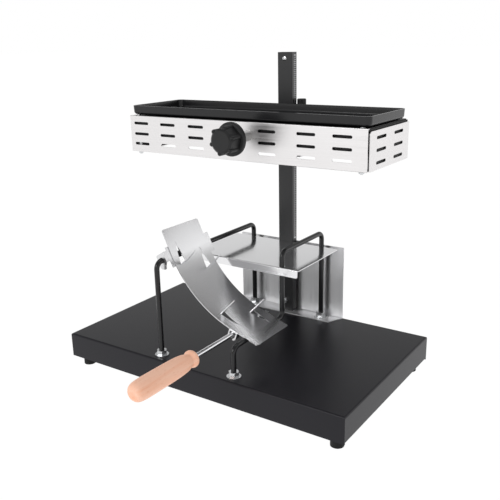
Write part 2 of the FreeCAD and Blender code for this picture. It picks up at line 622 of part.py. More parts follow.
# ---------------------------------------------------------------- heater
def make_front_panel():
    t = h_t
    wall = box(-h_fx, h_fx, h_y0, h_y0 + t, h_z0, h_z1)
    top = box(-h_fx, h_fx, h_y0, h_y0 + 4.2, h_z1 - t, h_z1)
    bot = box(-h_fx + 1.5, h_fx - 1.5, h_y0, h_y0 + 12.0, h_z0, h_z0 + t)
    s = fuse([wall, top, bot])
    ed = [e for e in s.Edges if e.BoundBox.XLength > 300 and abs(e.BoundBox.YMin - h_y0) < 1e-3
          and e.BoundBox.YLength < 1e-3 and (abs(e.BoundBox.ZMax - h_z1) < 1e-3 or abs(e.BoundBox.ZMin - h_z0) < 1e-3)]
    s = s.makeFillet(0.8, ed)
    tools = []
    for cx in slot_cols:
        for cz in slot_rows:
            tools.append(slot_cutter(cx, cz, slot_l, slot_h, h_y0 - 1, h_y0 + 2))
    tools.append(cyl(6.1, 6, (pin_x, h_y0 - 2, shaft_z), (0, 1, 0)))
    for x in (-198.0, 198.0):
        tools.append(cyl(2.1, 6, (x, h_y0 + 8.2, h_z0 - 2)))
    return s.cut(tools)


def make_rear_panel():
    t = h_t
    wall = box(-h_fx, h_fx, h_y1 - t, h_y1, h_z0, h_sz1 + 2.4)
    bot = box(-h_fx + 1.5, h_fx - 1.5, h_y1 - 12.0, h_y1, h_z0, h_z0 + t)
    s = fuse([wall, bot])
    ed = [e for e in s.Edges if e.BoundBox.XLength > 300 and abs(e.BoundBox.YMin - h_y1) < 1e-3
          and e.BoundBox.YLength < 1e-3 and abs(e.BoundBox.ZMin - h_z0) < 1e-3]
    if ed:
        s = s.makeFillet(0.8, ed)
    tools = []
    for cx in (-172.5, -116.8, 116.8, 172.5):
        for cz in slot_rows:
            tools.append(slot_cutter(cx, cz, slot_l, slot_h, h_y1 - 3, h_y1 + 2))
    tools.append(cyl(4.4, 6, (pin_x, h_y1 - 4, shaft_z), (0, 1, 0)))
    tools.append(cyl(8.1, 6, (gland_x, h_y1 - 4, gland_z), (0, 1, 0)))
    for x, z in carriage_screw_xz:
        tools.append(cyl(2.1, 6, (x, h_y1 - 4, z), (0, 1, 0)))
    for x in (-198.0, 198.0):
        tools.append(cyl(2.1, 6, (x, h_y1 - 8.2, h_z0 - 2)))
    return s.cut(tools)


gland_x, gland_z = -72.0, 378.0
carriage_screw_xz = ((-24.0, 362.0), (-24.0, 398.0 - 12.0), (38.0, 362.0), (38.0, 386.0))


def make_side_panel(sg):
    t = h_t
    x1 = h_x
    wall = box(x1 - t, x1, h_y0 + 3.2, h_y1, h_z0, h_sz1)
    ed = [e for e in wall.Edges if e.BoundBox.XLength > 0.5 and e.BoundBox.YLength < 1e-3 and e.BoundBox.ZLength < 1e-3
          and abs(e.BoundBox.ZMin - h_sz1) < 1e-3 and abs(e.BoundBox.YMin - (h_y0 + 3.2)) < 1e-3]
    wall = wall.makeFillet(4.0, ed)
    bot = box(x1 - 12.0, x1, h_y0 + 14.0, h_y1 - 14.0, h_z0, h_z0 + t)
    s = wall.fuse(bot).removeSplitter()
    tools = []
    for cy in side_cols:
        for cz in side_rows:
            tools.append(slot_cutter_x(cy, cz, side_l, slot_h, x1 - 3, x1 + 2))
    s = s.cut(tools)
    if sg < 0:
        s = s.mirror(V(0, 0, 0), V(1, 0, 0))
    return s


def make_top_plate():
    s = box(-207.5, 207.5, h_y0 + 6.0, h_y1 - 1.4, 397.2, 398.4)
    tools = []
    for x in (-198.0, 198.0):
        for y in (h_y0 + 8.2, h_y1 - 8.2):
            tools.append(cyl(2.1, 5, (x, y, 395)))
    return s.cut(tools)


def make_hood():
    t = 1.0
    y0, y1 = -9.2, 119.6
    outer = box(-208.5, 208.5, y0, y1, 366.0, 397.2)
    inner = box(-208.5 + t, 208.5 - t, y0 + t, y1 - t, 365.0, 396.2)
    s = outer.cut(inner)
    # ledge that carries the reflector
    ledge = box(-206.5, 206.5, y0 + 1, y1 - 1, 366.0, 367.0).cut(box(-198.5, 198.5, y0 + 9, y1 - 9, 365, 368))
    s = s.fuse(ledge)
    tools = [cyl(6.1, 6, (pin_x, y0 - 2, shaft_z), (0, 1, 0)), cyl(4.4, 6, (pin_x, y1 - 4, shaft_z), (0, 1, 0)),
             cyl(8.1, 6, (gland_x, y1 - 4, gland_z), (0, 1, 0))]
    for x in (-198.0, 198.0):
        for y in (h_y0 + 8.2, h_y1 - 8.2):
            tools.append(cyl(2.1, 45, (x, y, 355)))
    return s.cut(tools).removeSplitter()


def make_reflector():
    """Bright sheet above the elements, with raised edges."""
    s = box(-206.0, 206.0, -7.6, 118.0, 367.0, 367.8)
    tools = []
    for x, y in element_ends():
        tools.append(cyl(6.0, 5, (x, y, 365)))
    for x, y in clip_xy():
        tools.append(cyl(1.6, 5, (x, y - 3.6, 365)))
    for x in (-198.0, 198.0):
        for y in (h_y0 + 8.2, h_y1 - 8.2):
            tools.append(cyl(2.1, 5, (x, y, 365)))
    return s.cut(tools)


el_rows = ((14.0, 42.0), (68.0, 96.0))
el_z = 355.0


def element_ends():
    return [(184.0, y) for row in el_rows for y in row]


def clip_xy():
    return [(x, y) for x in (-120.0, 90.0) for y in (28.0, 82.0)]


def make_elements():
    out = []
    for ya, yb in el_rows:
        out.append(bent_rod([(184.0, ya, 376.0), (184.0, ya, el_z), (-186.0, ya, el_z), (-186.0, yb, el_z),
                             (184.0, yb, el_z), (184.0, yb, 376.0)], 3.2, 9.0))
    return out


def make_element_bushes():
    out = []
    for x, y in element_ends():
        b = lathe([(5.9, 0.0), (5.9, 2.2), (8.0, 2.2), (8.0, 5.2), (6.0, 6.4)], (x, y, 365.6), (0, 0, 1))
        out.append(b.cut(cyl(3.3, 20, (x, y, 360))))
    return out


def make_element_clips():
    """Strips that hang under the reflector and carry the two hairpins."""
    out = []
    for x, y in clip_xy():
        ya, yb = y - 19.0, y + 19.0
        strip = box(x - 5, x + 5, ya, yb, 350.2, 351.4)
        post = box(x - 5, x + 5, y - 0.6, y + 0.6, 350.2, 367.0)
        ear = box(x - 5, x + 5, y - 6.0, y + 0.6, 365.8, 367.0)
        s = fuse([strip, post, ear])
        s = s.cut(cyl(1.6, 5, (x, y - 3.6, 364)))
        out.append(s)
    return out


def make_studs():
    studs, nuts = [], []
    for x in (-198.0, 198.0):
        for y in (h_y0 + 8.2, h_y1 - 8.2):
            studs.append(lathe([(2.0, 0.0), (2.0, 62.2), (3.6, 62.2), (3.6, 62.9), (3.0, 63.5)], (x, y, 336.2), (0, 0, 1)))
            n = hexprism(7.0, 3.2, (x, y, h_z0 - 3.2), (0, 0, 1), 10.0)
            nuts.append(n.cut(cyl(2.0, 12, (x, y, h_z0 - 8))))
    return studs, nuts


def make_carriage():
    """Guide block that wraps the column and carries the pinion."""
    cl = 0.35
    z0, z1 = car_z0, car_z1
    s = box(-20.0, 19.2, h_y1, car_y1, z0, z1)
    ed = [e for e in s.Edges if e.BoundBox.ZLength > 20 and e.BoundBox.YMin > car_y1 - 0.1 and e.BoundBox.XMax < 0]
    s = s.makeFillet(2.0, ed)
    lobe = box(14.6, 33.5, h_y1, lobe_y1, 366.0, z1)
    ed = [e for e in lobe.Edges if e.BoundBox.ZLength > 20 and e.BoundBox.YMin > lobe_y1 - 0.1]
    lobe = lobe.makeFillet(2.0, ed)
    s = s.fuse(lobe).removeSplitter()
    tools = [box(-col_x - cl, col_x + cl, col_y0 - cl, col_y1 + cl, z0 - 1, z1 + 1)]
    # pinion chamber, open to the column
    tools.append(cyl(pin_r + 1.6, rack_y1 - rack_y0 + 0.6, (pin_x, rack_y0 - 0.3, shaft_z), (0, 1, 0)))
    # shaft bore
    tools.append(cyl(4.05, 40, (pin_x, h_y1 - 5, shaft_z), (0, 1, 0)))
    # clamp screw bore, from the top down to the shaft
    tools.append(cyl(2.55, z1 + 1 - shaft_z, (lock_x, lock_y, shaft_z)))
    s = s.cut(tools)
    # fixing ears on the rear panel
    ears = [box(-30.0, -19.0, h_y1, h_y1 + 2.4, 355.0, z1), box(32.0, 44.0, h_y1, h_y1 + 2.4, 355.0, z1)]
    s = s.fuse(ears)
    tools = []
    for x, z in carriage_screw_xz:
        tools.append(cyl(2.1, 10, (x, h_y1 - 3, z), (0, 1, 0)))
    return s.cut(tools).removeSplitter()


def make_lock_pad():
    """Soft plug between the clamp screw and the shaft, hollowed to fit the shaft."""
    s = cyl(2.5, 4.4, (lock_x, lock_y, shaft_z + 2.6))
    return s.cut(cyl(4.08, 30, (pin_x, lock_y - 15, shaft_z), (0, 1, 0)))


def make_carriage_screws():
    out = []
    for x, z in carriage_screw_xz:
        sc = pan_screw(3.6, 2.2, 2.0, 5.0, (x, h_y1 + 2.4, z), (0, 1, 0))
        out.append(sc)
    return out


def make_shaft_sleeve():
    """Metal boss between the front panel and the knob."""
    s = lathe([(8.0, 0.0), (8.0, 36.0), (7.0, 37.0)], (pin_x, h_y0, shaft_z), (0, -1, 0))
    neck = cyl(6.0, 7.2, (pin_x, h_y0, shaft_z), (0, 1, 0))
    s = s.fuse(neck)
    return s.cut(cyl(4.05, 60, (pin_x, h_y0 - 45, shaft_z), (0, 1, 0))).removeSplitter()


def make_height_knob():
    """Clamp-style hand wheel: round flange, six ball-ended ribs, flattened hub between them."""
    y = h_y0 - 37.3
    r_fl, t_fl, length = 24.2, 6.5, 29.5
    r_in, r_out = 19.6, 17.8               # hub at the flange and at the face
    parts = [lathe([(r_fl - 1.6, 0.0), (r_fl, 1.4), (r_fl, t_fl - 1.6), (r_fl - 1.6, t_fl), (r_in, t_fl + 0.5)],
                   (0, 0, 0), (0, 0, 1))]
    body = lathe([(r_in, t_fl - 1.0), (r_out, length - 2.6), (r_out - 2.4, length - 0.7), (r_out - 3.4, length)],
                 (0, 0, 0), (0, 0, 1))
    ang = [17.0 + 60.0 * i for i in range(6)]
    pts = [V(20.4 * math.cos(math.radians(a)), 20.4 * math.sin(math.radians(a)), 0) for a in ang]
    hexa = Part.Face(Part.makePolygon(pts + [pts[0]])).extrude(V(0, 0, length + 1))
    parts.append(body.common(hexa))
    for a in ang:
        c = V(18.0 * math.cos(math.radians(a)), 18.0 * math.sin(math.radians(a)), 0)
        parts.append(Part.makeCylinder(3.3, length - 4.0 - t_fl + 1, c + V(0, 0, t_fl - 1)))
        parts.append(Part.makeSphere(3.3, c + V(0, 0, length - 4.0)))
    s = parts[0].fuse(parts[1:]).removeSplitter()
    s.Placement = FreeCAD.Placement(V(pin_x, y, shaft_z), FreeCAD.Rotation(V(0, 0, 1), V(0, -1, 0)))
    return s.cut(cyl(4.0, 22.0, (pin_x, y - 20.0, shaft_z), (0, 1, 0)))


def make_shaft():
    y0 = h_y0 - 37.3 - 20.0
    y1 = lobe_y1 + 1.8
    s = cyl(4.0, y1 - y0, (pin_x, y0, shaft_z), (0, 1, 0))
    # groove for the circlip
    g = cyl(5.0, 0.9, (pin_x, lobe_y1 + 0.15, shaft_z), (0, 1, 0)).cut(cyl(3.4, 3, (pin_x, lobe_y1 - 1, shaft_z), (0, 1, 0)))
    return s.cut(g)


def make_clip():
    s = cyl(6.2, 0.8, (pin_x, lobe_y1 + 0.2, shaft_z), (0, 1, 0)).cut(cyl(3.4, 3, (pin_x, lobe_y1 - 1, shaft_z), (0, 1, 0)))
    return s.cut(box(pin_x - 1.8, pin_x + 1.8, lobe_y1 - 1, lobe_y1 + 3, shaft_z - 8, shaft_z))


def make_lock():
    """Upright fluted knob with its screw; the screw presses the plug on the height shaft."""
    h = lock_top - lock_z
    k = lathe([(4.0, 0.0), (4.4, 0.6), (4.4, 8.6), (lock_r - 0.5, 10.2), (lock_r, 10.9), (lock_r, h - 1.0), (lock_r - 0.9, h)],
              (0, 0, 0), (0, 0, 1))
    fl = []
    for i in range(9):
        a = 2 * math.pi * (i + 0.3) / 9
        fl.append(Part.makeCylinder(1.5, h, V((lock_r + 0.75) * math.cos(a), (lock_r + 0.75) * math.sin(a), 9.0)))
    k = k.cut(fl)
    k.Placement = FreeCAD.Placement(V(lock_x, lock_y, lock_z), FreeCAD.Rotation())
    k = k.cut(cyl(2.5, 15.0, (lock_x, lock_y, lock_z - 1.0)))
    z0 = shaft_z + 7.1
    s = cyl(2.5, lock_z + 14.0 - z0, (lock_x, lock_y, z0))
    return k, s


def make_gland():
    y = h_y1
    a = hexprism(22.0, 5.0, (gland_x, y, gland_z), (0, 1, 0))
    neck = cyl(8.0, 10.0, (gland_x, y - 10.0, gland_z), (0, 1, 0))
    dome = lathe([(10.2, 5.0), (10.4, 12.0), (9.0, 16.0), (6.5, 18.6), (4.6, 19.4)], (gland_x, y, gland_z), (0, 1, 0))
    s = a.fuse([neck, dome])
    # ribs on the dome nut
    ribs = []
    for i in range(14):
        an = 2 * math.pi * i / 14
        ribs.append(cyl(0.9, 6.0, (gland_x + 10.3 * math.cos(an), y + 5.5, gland_z + 10.3 * math.sin(an)), (0, 1, 0)))
    s = s.fuse(ribs)
    s = s.cut(cyl(3.6, 40, (gland_x, y - 15, gland_z), (0, 1, 0))).removeSplitter()
    nut = hexprism(19.0, 3.6, (gland_x, 119.6 - 1.0 - 3.6, gland_z), (0, 1, 0)).cut(
        cyl(8.0, 12, (gland_x, 110, gland_z), (0, 1, 0)))
    return s, nut


def make_terminal():
    s = box(128.0, 164.0, 40.0, 62.0, 367.8, 381.0)
    ed = [e for e in s.Edges if e.BoundBox.ZLength > 10]
    s = s.makeFillet(2.0, ed)
    tools = []
    for i in range(3):
        x = 134.5 + i * 11.5
        tools.append(cyl(2.6, 6, (x, 46.0, 376.5)))
        tools.append(cyl(2.6, 6, (x, 56.0, 376.5)))
    return s.cut(tools)


def make_tray():
    t, step, rim = 1.8, 1.2, 3.4           # sheet, inner step, height of the rim above it
    z0, z1 = tray_z0, tray_z1
    ins = 0.8
    a = rounded_rect(-tray_x + ins, tray_x - ins, tray_y0 + ins, tray_y1 - ins, 7.0, z0)
    b = rounded_rect(-tray_x, tray_x, tray_y0, tray_y1, 7.5, z1)
    outer = Part.makeLoft([a, b], True, True)
    ed = [e for e in outer.Edges if e.BoundBox.ZLength < 1e-3 and abs(e.BoundBox.ZMin - z0) < 1e-3]
    outer = outer.makeFillet(4.5, ed)
    w = t + step
    a = rounded_rect(-tray_x + ins + w, tray_x - ins - w, tray_y0 + ins + w, tray_y1 - ins - w, 5.2, z0 + t)
    b = rounded_rect(-tray_x + w, tray_x - w, tray_y0 + w, tray_y1 - w, 6.0, z1 - rim + 0.01)
    inner = Part.makeLoft([a, b], True, True)
    ed = [e for e in inner.Edges if e.BoundBox.ZLength < 1e-3 and abs(e.BoundBox.ZMin - (z0 + t)) < 1e-3]
    inner = inner.makeFillet(3.0, ed)
    a = rounded_rect(-tray_x + t + 0.4, tray_x - t - 0.4, tray_y0 + t + 0.4, tray_y1 - t - 0.4, 6.2, z1 - rim)
    b = rounded_rect(-tray_x + t, tray_x - t, tray_y0 + t, tray_y1 - t, 6.4, z1 + 0.01)
    upper = Part.makeLoft([a, b], True, True)
    s = outer.cut([inner, upper])
    pads = []
    for x in (-170.0, 170.0):
        for y in (16.0, 92.0):
            pads.append(lathe([(5.5, 0.0), (6.5, 0.8), (6.5, 2.2)], (x, y, z0 - 1.4), (0, 0, 1)))
    return s.fuse(pads).removeSplitter()


def make_hood_end_plates():
    """Black plates lapped on the hood's end walls, reaching down to the side panels' lower flanges."""
    z0 = h_z0 + h_t + 0.2
    return [box(208.5, 209.5, -9.2, 119.6, z0, 380.0), box(-209.5, -208.5, -9.2, 119.6, z0, 380.0)]


def make_side_spacers():
    """Short welded posts between the hood and the two side panels."""
    out = []
    for y in (4.0, 108.0):
        out.append(cyl(3.0, h_x - h_t - 208.5, (208.5, y, 385.0), (1, 0, 0)))
        out.append(cyl(3.0, h_x - h_t - 208.5, (-208.5, y, 385.0), (-1, 0, 0)))
    return out


def make_clip_rivets():
    out = []
    for x, y in clip_xy():
        r = lathe([(2.2, 0.0), (2.8, 0.4), (2.8, 0.8), (1.6, 0.8), (1.6, 2.8), (2.6, 2.8), (2.6, 3.2), (1.8, 3.6)],
                  (x, y - 3.6, 365.0), (0, 0, 1))
        out.append(r)
    return out


# ---------------------------------------------------------------- build
def main():
    export("base_cover", make_base())
    feet, fs, fn = make_feet()
    export("rubber_feet", feet)
    export("foot_studs", fs)
    export("foot_nuts", fn)

    export("column", make_column())
    export("column_rack", make_rack())
    cap = box(-col_x + col_t + 0.1, col_x - col_t - 2.9, col_y0 + col_t + 0.1, col_y1 - col_t - 0.1, col_z1 - 6.5, col_z1 - 0.4)
    export("column_cap", cap)
    export("column_stop_screw", pan_screw(3.6, 2.6, 2.0, 5.0, (0, col_y0, stop_z), (0, -1, 0)))
    yc = (col_y0 + col_y1) / 2
    blk = box(-col_x + col_t + 0.1, col_x - col_t - 0.1, col_y0 + col_t + 0.1, col_y1 - col_t - 0.1, col_z0, col_z0 + 14)
    blk = blk.cut(cyl(4.0, 40, (0, yc, col_z0 - 5)))
    export("column_foot_block", blk)
    scr = hexprism(13.0, 5.3, (0, yc, base_z1 - base_t - 5.3), (0, 0, 1))
    scr = scr.fuse(cyl(4.0, 16.0, (0, yc, base_z1 - base_t - 1.0))).removeSplitter()
    export("column_foot_screw", scr)
    bolts, nuts, spacers = [], [], []
    for z in col_bolt_z:
        b = hexprism(8.0, 3.5, (0, back_y1, z), (0, 1, 0)).fuse(cyl(2.5, 24.5, (0, back_y1 + 0.5 - 24.5, z), (0, 1, 0)))
        bolts.append(b.removeSplitter())
        nuts.append(hexprism(8.0, 4.2, (0, col_y0 - 4.2, z), (0, 1, 0), 8.0).cut(cyl(2.5, 20, (0, col_y0 - 12, z), (0, 1, 0))))
        spacers.append(cyl(6.0, back_y0 - col_y1, (0, col_y1, z), (0, 1, 0)).cut(cyl(2.5, 10, (0, col_y1 - 3, z), (0, 1, 0))))
    export("column_bolts", bolts)
    export("column_bolt_nuts", nuts)
    export("column_spacers", spacers)

    export("back_plate", make_back_plate())
    export("shelf", make_shelf())
    export("shelf_screws", [pan_screw(3.6, 2.4, 2.0, 5.0, (0, shelf_y1 - plate_t, z), (0, -1, 0)) for z in shelf_screw_z])

    left, right = make_rails()
    export("left_rail", left)
    export("right_rail", right)
    n, w, un, uw = make_rail_fixings()
    export("rail_nuts", n)
    export("rail_washers", w)
    export("rail_lower_nuts", un)
    export("rail_lower_washers", uw)

    export("cheese_cradle", make_cradle())
    export("rail_saddle", make_rail_saddle())
    y0, y1 = sad_y0 + 2.1, sad_y1 - 2.1
    export("rail_sleeve", cyl(4.9, y1 - y0, (lrail_x, y0, lrail_hi), (0, 1, 0)).cut(
        cyl(rail_d / 2 + 0.06, y1 - y0 + 4, (lrail_x, y0 - 2, lrail_hi), (0, 1, 0))))
    export("rod_saddles", make_rod_saddles())
    rod = cyl(rod_r, rod_end - (handle_y1 - 60.0), (rod_x, handle_y1 - 60.0, rod_z), (0, 1, 0))
    export("handle_rod", rod)
    nut = hexprism(11.0, 5.0, (rod_x, -16.6, rod_z), (0, 1, 0), 20.0).cut(cyl(rod_r, 20, (rod_x, -25, rod_z), (0, 1, 0)))
    export("rod_nut", nut)
    export("wooden_handle", make_handle())

    export("heater_front_panel", make_front_panel())
    export("heater_rear_panel", make_rear_panel())
    export("heater_left_panel", make_side_panel(-1))
    export("heater_right_panel", make_side_panel(1))
    export("heater_top_plate", make_top_plate())
    export("heater_hood", make_hood())
    export("hood_end_plates", make_hood_end_plates())
    export("reflector", make_reflector())
    export("heating_elements", make_elements())
    export("element_bushes", make_element_bushes())
    export("element_clips", make_element_clips())
    export("clip_rivets", make_clip_rivets())
    export("side_spacers", make_side_spacers())
    studs, snuts = make_studs()
    export("housing_studs", studs)
    export("housing_nuts", snuts)
    export("terminal_block", make_terminal())
    gl, gn = make_gland()
    export("cord_gland", gl)
    export("gland_nut", gn)
    export("column_carriage", make_carriage())
    export("carriage_screws", make_carriage_screws())
    export("shaft_sleeve", make_shaft_sleeve())

    export("height_knob", make_height_knob())
    export("height_shaft", make_shaft())
    export("drive_pinion", make_pinion())
    export("shaft_clip", make_clip())

    export("lock_pad", make_lock_pad())
    lk, ls = make_lock()
    export("lock_knob", lk)
    export("lock_screw", ls)

    export("grill_tray", make_tray())


main()
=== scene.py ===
import bpy
import bmesh
import json
import math
from mathutils import Vector, Matrix


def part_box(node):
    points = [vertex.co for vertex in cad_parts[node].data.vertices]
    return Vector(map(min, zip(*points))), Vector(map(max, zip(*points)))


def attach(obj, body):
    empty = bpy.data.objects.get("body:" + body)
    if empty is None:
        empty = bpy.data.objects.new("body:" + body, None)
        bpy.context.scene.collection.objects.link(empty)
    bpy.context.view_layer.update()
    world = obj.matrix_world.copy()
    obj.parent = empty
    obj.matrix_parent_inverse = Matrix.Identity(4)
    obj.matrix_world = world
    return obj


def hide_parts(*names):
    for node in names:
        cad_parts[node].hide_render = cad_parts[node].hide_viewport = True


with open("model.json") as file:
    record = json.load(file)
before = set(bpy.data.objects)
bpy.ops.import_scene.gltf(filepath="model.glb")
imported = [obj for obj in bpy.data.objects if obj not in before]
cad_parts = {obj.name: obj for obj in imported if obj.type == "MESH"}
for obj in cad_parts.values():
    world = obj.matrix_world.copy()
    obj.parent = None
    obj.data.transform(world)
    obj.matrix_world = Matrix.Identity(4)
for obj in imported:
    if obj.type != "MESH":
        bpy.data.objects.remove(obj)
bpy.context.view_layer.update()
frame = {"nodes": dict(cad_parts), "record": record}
NODES = frame["nodes"]
SLOT = {s["node"]: s["material_slot"] for s in frame["record"]["subparts"]}
scene = bpy.context.scene
scene.view_settings.view_transform = "Standard"


# ------------------------------------------------------------------ materials
class Mat:
    """A small builder round one Principled shader."""

    def __init__(self, name, color, rough, metal=0.0, spec=0.5, **kw):
        self.m = bpy.data.materials.new(name)
        self.m.use_nodes = True
        self.nt = self.m.node_tree
        self.nt.nodes.clear()
        self.out = self.nt.nodes.new("ShaderNodeOutputMaterial")
        self.b = self.nt.nodes.new("ShaderNodeBsdfPrincipled")
        self.nt.links.new(self.b.outputs["BSDF"], self.out.inputs["Surface"])
        self.b.inputs["Base Color"].default_value = (*color, 1.0)
        self.b.inputs["Roughness"].default_value = rough
        self.b.inputs["Metallic"].default_value = metal
        self.b.inputs["Specular IOR Level"].default_value = spec
        for k, v in kw.items():
            self.b.inputs[k].default_value = v
        tc = self.nt.nodes.new("ShaderNodeTexCoord")
        self.co = tc.outputs["Object"]
        self.last_bump = None

    def mapped(self, scale, rot=(0, 0, 0), loc=(0, 0, 0)):
        n = self.nt.nodes.new("ShaderNodeMapping")
        n.inputs["Scale"].default_value = scale
        n.inputs["Rotation"].default_value = rot
        n.inputs["Location"].default_value = loc
        self.nt.links.new(self.co, n.inputs["Vector"])
        return n.outputs["Vector"]

    def noise(self, scale=1.0, detail=3.0, rough=0.5, vec=None, distort=0.0):
        n = self.nt.nodes.new("ShaderNodeTexNoise")
        n.inputs["Scale"].default_value = scale
        n.inputs["Detail"].default_value = detail
        n.inputs["Roughness"].default_value = rough
        n.inputs["Distortion"].default_value = distort
        self.nt.links.new(vec if vec is not None else self.co, n.inputs["Vector"])
        return n.outputs["Fac"]

    def ramp(self, fac, stops):
        n = self.nt.nodes.new("ShaderNodeValToRGB")
        e = n.color_ramp.elements
        while len(e) > 1:
            e.remove(e[-1])
        e[0].position = stops[0][0]
        e[0].color = (*stops[0][1], 1.0)
        for p, c in stops[1:]:
            q = e.new(p)
            q.color = (*c, 1.0)
        self.nt.links.new(fac, n.inputs["Fac"])
        return n.outputs["Color"]

    def span(self, fac, a, b, lo=0.3, hi=0.7):
        n = self.nt.nodes.new("ShaderNodeMapRange")
        n.inputs["From Min"].default_value = lo
        n.inputs["From Max"].default_value = hi
        n.inputs["To Min"].default_value = a
        n.inputs["To Max"].default_value = b
        self.nt.links.new(fac, n.inputs["Value"])
        return n.outputs["Result"]

    def mix(self, fac, a, b, mode="MIX"):
        n = self.nt.nodes.new("ShaderNodeMix")
        n.data_type = "RGBA"
        n.blend_type = mode
        n.clamp_factor = True
        if isinstance(fac, float):
            n.inputs[0].default_value = fac
        else:
            self.nt.links.new(fac, n.inputs[0])
        for i, v in ((6, a), (7, b)):
            if isinstance(v, tuple):
                n.inputs[i].default_value = (*v, 1.0)
            else:
                self.nt.links.new(v, n.inputs[i])
        return n.outputs[2]

    def math(self, op, a, b=0.0):
        n = self.nt.nodes.new("ShaderNodeMath")
        n.operation = op
        for i, v in ((0, a), (1, b)):
            if isinstance(v, (int, float)):
                n.inputs[i].default_value = v
            else:
                self.nt.links.new(v, n.inputs[i])
        return n.outputs[0]

    def color(self, sock):
        self.nt.links.new(sock, self.b.inputs["Base Color"])

    def rough(self, sock):
        self.nt.links.new(sock, self.b.inputs["Roughness"])

    def bump(self, height, strength=0.2, dist=0.0005):
        n = self.nt.nodes.new("ShaderNodeBump")
        n.inputs["Strength"].default_value = strength
        n.inputs["Distance"].default_value = dist
        self.nt.links.new(height, n.inputs["Height"])
        if self.last_bump is not None:
            self.nt.links.new(self.last_bump, n.inputs["Normal"])
        self.last_bump = n.outputs["Normal"]
        self.nt.links.new(self.last_bump, self.b.inputs["Normal"])

    def axis(self, i):
        n = self.nt.nodes.new("ShaderNodeSeparateXYZ")
        self.nt.links.new(self.co, n.inputs[0])
        return n.outputs[i]


def coated(name, color, rough, spec, grain=1800.0, bump=0.06):
    """Powder or enamel coating: even colour with a fine orange-peel."""
    m = Mat(name, color, rough, 0.0, spec)
    cloud = m.noise(9.0, 2.0, 0.5)
    c0 = tuple(v * 0.97 for v in color)
    c1 = tuple(min(1.0, v * 1.03) for v in color)
    m.color(m.ramp(cloud, [(0.3, c0), (0.7, c1)]))
    fine = m.noise(grain, 2.0, 0.6)
    m.rough(m.span(fine, rough * 0.95, rough * 1.05))
    m.bump(fine, bump, 0.0001)
    return m.m


def brushed(name, color, rough, scale, spec=0.5, var=0.10, bump=0.05, cloud=0.02, spread=1.0, **kw):
    """Sheet metal with grinding lines; the small axis of scale is the line direction."""
    m = Mat(name, color, rough, 1.0, spec, **kw)
    v = m.mapped(scale)
    lines = m.noise(1.0, 4.0, 0.65, vec=v)
    c0 = tuple(x * (1 - var) for x in color)
    c1 = tuple(min(1.0, x * (1 + var * 0.6)) for x in color)
    col = m.ramp(lines, [(0.3, c0), (0.7, c1)])
    cl = m.ramp(m.noise(7.0, 3.0, 0.5), [(0.3, (1 - cloud * 2,) * 3), (0.7, (1.0, 1.0, 1.0))])
    m.color(m.mix(1.0, col, cl, "MULTIPLY"))
    m.rough(m.span(lines, rough * (1 - 0.25 * spread), rough * (1 + 0.3 * spread)))
    m.bump(lines, bump, 0.0002)
    return m.m


def plated(name, color, rough, grain=420.0):
    """Bright plating with faint handling marks."""
    m = Mat(name, color, rough, 1.0, 0.5)
    n = m.noise(grain, 3.0, 0.6)
    m.rough(m.span(n, rough * 0.6, rough * 1.7))
    m.color(m.ramp(m.noise(90.0, 3.0, 0.5), [(0.3, tuple(x * 0.88 for x in color)), (0.7, color)]))
    m.bump(n, 0.03, 0.0002)
    return m.m


def plastic(name, color, rough, spec=0.4, grain=1500.0, bump=0.1):
    m = Mat(name, color, rough, 0.0, spec)
    n = m.noise(grain, 2.0, 0.6)
    m.rough(m.span(m.noise(120.0, 3.0), rough * 0.85, rough * 1.2))
    m.color(m.ramp(m.noise(30.0, 3.0, 0.5), [(0.3, tuple(x * 0.85 for x in color)), (0.7, tuple(x * 1.12 for x in color))]))
    m.bump(n, bump, 0.0003)
    return m.m


def beech():
    m = Mat("beech_wood", (0.8, 0.5, 0.34), 0.5, 0.0, 0.35)
    # growth rings run along the handle; medullary flecks are short dashes
    v = m.mapped((34.0, 2.4, 34.0), rot=(0.0, 0.0, 0.05))
    rings = m.noise(3.0, 5.0, 0.55, vec=v, distort=0.8)
    c = m.ramp(rings, [(0.22, (0.92, 0.43, 0.26)), (0.42, (0.96, 0.53, 0.36)), (0.6, (0.98, 0.59, 0.43)), (0.8, (0.99, 0.64, 0.48))])
    f = m.noise(1.0, 2.0, 0.5, vec=m.mapped((900.0, 130.0, 900.0)))
    fl = m.ramp(f, [(0.60, (1.0, 1.0, 1.0)), (0.72, (0.92, 0.84, 0.79))])
    c = m.mix(1.0, c, fl, "MULTIPLY")
    m.color(c)
    m.rough(m.span(rings, 0.42, 0.6))
    m.bump(f, 0.12, 0.0003)
    return m.m


M = {}
M["base_black"] = coated("base_black", (0.0095, 0.0090, 0.0125), 0.34, 0.25, grain=2600.0, bump=0.04)
M["foot_rubber"] = plastic("foot_rubber", (0.010, 0.010, 0.010), 0.6, 0.2)
M["zinc"] = plated("zinc", (0.70, 0.71, 0.72), 0.22)
M["column_steel"] = coated("column_steel", (0.020, 0.020, 0.021), 0.30, 0.45, grain=1600.0)
M["rack_steel"] = brushed("rack_steel", (0.62, 0.62, 0.63), 0.32, (500.0, 500.0, 40.0))
M["black_plastic"] = plastic("black_plastic", (0.014, 0.014, 0.015), 0.45)
M["stainless"] = brushed("stainless", (0.72, 0.72, 0.73), 0.25, (60.0, 1500.0, 60.0), var=0.01, bump=0.002, cloud=0.01, spread=0.25)
M["plate_steel"] = brushed("plate_steel", (0.76, 0.76, 0.77), 0.38, (420.0, 420.0, 9.0), var=0.03, bump=0.01, cloud=0.01,
                           **{"Anisotropic": 0.75, "Anisotropic Rotation": 0.25})
M["shelf_steel"] = brushed("shelf_steel", (0.83, 0.83, 0.84), 0.14, (9.0, 900.0, 900.0), var=0.01, bump=0.002, cloud=0.01, spread=0.3)
M["rail_black"] = coated("rail_black", (0.007, 0.007, 0.008), 0.20, 0.45, grain=900.0, bump=0.03)
